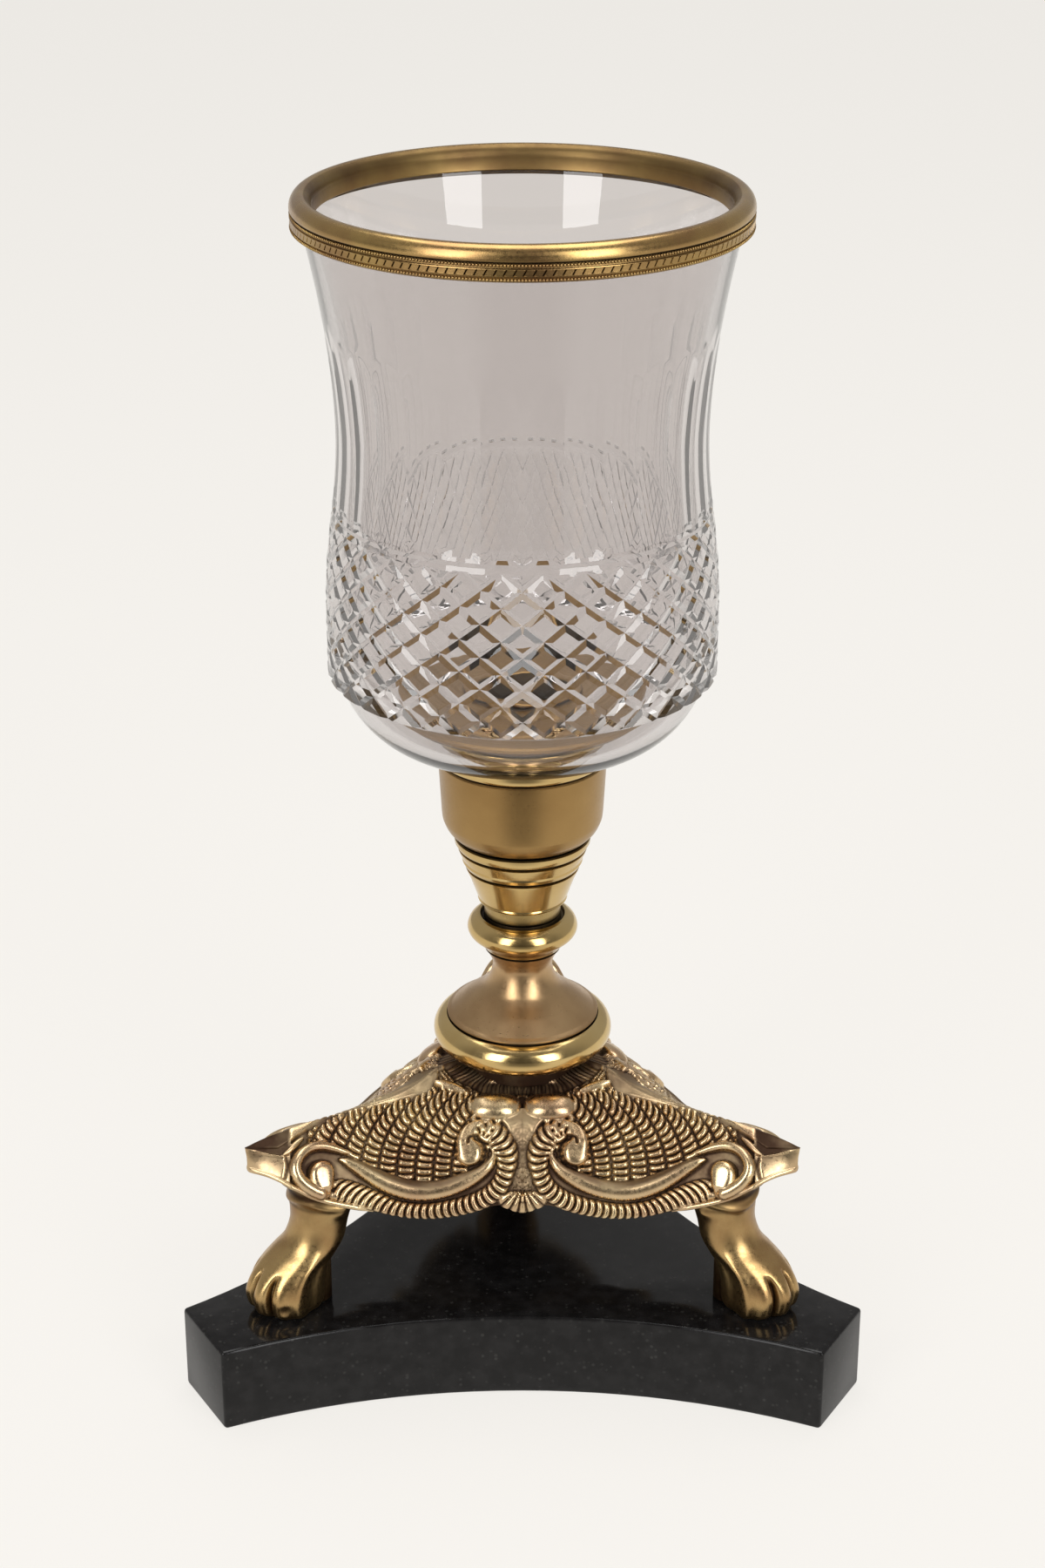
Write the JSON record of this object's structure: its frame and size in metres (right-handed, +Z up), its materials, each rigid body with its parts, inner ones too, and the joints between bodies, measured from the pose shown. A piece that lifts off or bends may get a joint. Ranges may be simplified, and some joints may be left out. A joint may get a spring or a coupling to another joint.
{
  "type": "hurricane candle holder",
  "caption": "Cut glass hurricane shade with a brass rim on a turned brass stem, a cast paw-footed brass base and a black granite slab.",
  "frame": {"origin": "centre of the slab's underside, on the axis of the turned stack", "axes": "+Z up along the stack, -Y to the front of the base, +X to the right"},
  "size_m": [0.171, 0.1481, 0.2961],
  "materials": {
    "polished_brass": "polished, lightly aged",
    "satin_brass": "satin, darker lacquer",
    "antique_brass": "cast, rubbed high spots and brown recesses",
    "black_granite": "polished natural stone, fine grain",
    "clear_glass": "clear, hand cut and polished",
    "zinc_steel": "zinc plated",
    "rubber": "matt soft rubber",
    "cement": "matt lamp cement"
  },
  "bodies": {
    "stand": {"granite_slab": "black_granite", "paw_leg_rear": "antique_brass", "paw_leg_left": "antique_brass", "paw_leg_right": "antique_brass", "leg_bolt_rear": "zinc_steel", "leg_bolt_left": "zinc_steel", "leg_bolt_right": "zinc_steel", "leg_bolt_washer_rear": "zinc_steel", "leg_bolt_washer_left": "zinc_steel", "leg_bolt_washer_right": "zinc_steel", "base_casting": "antique_brass", "tie_rod": "zinc_steel", "casting_washer": "zinc_steel", "casting_nut": "zinc_steel", "cup_washer": "zinc_steel", "cup_nut": "zinc_steel", "foot_ring": "polished_brass", "stem": "satin_brass", "knop": "polished_brass", "cup_cone": "polished_brass", "socket_cup": "satin_brass", "seat_collar": "polished_brass", "seat_gasket": "rubber"},
    "shade": {"glass_shade": "clear_glass", "rim_cement": "cement", "rim_bead": "polished_brass", "rim_band": "antique_brass"},
    "candle_holder": {"plate_gasket": "rubber", "candle_plate": "satin_brass", "candle_socket": "satin_brass"}
  },
  "joints": [
    {"name": "shade_lift", "type": "slide", "parent": "stand", "child": "shade", "axis": [0, 0, 1], "range_m": [0, 0.06]},
    {"name": "socket_lift", "type": "slide", "parent": "shade", "child": "candle_holder", "axis": [0, 0, 1], "range_m": [0, 0.17]}
  ]
}
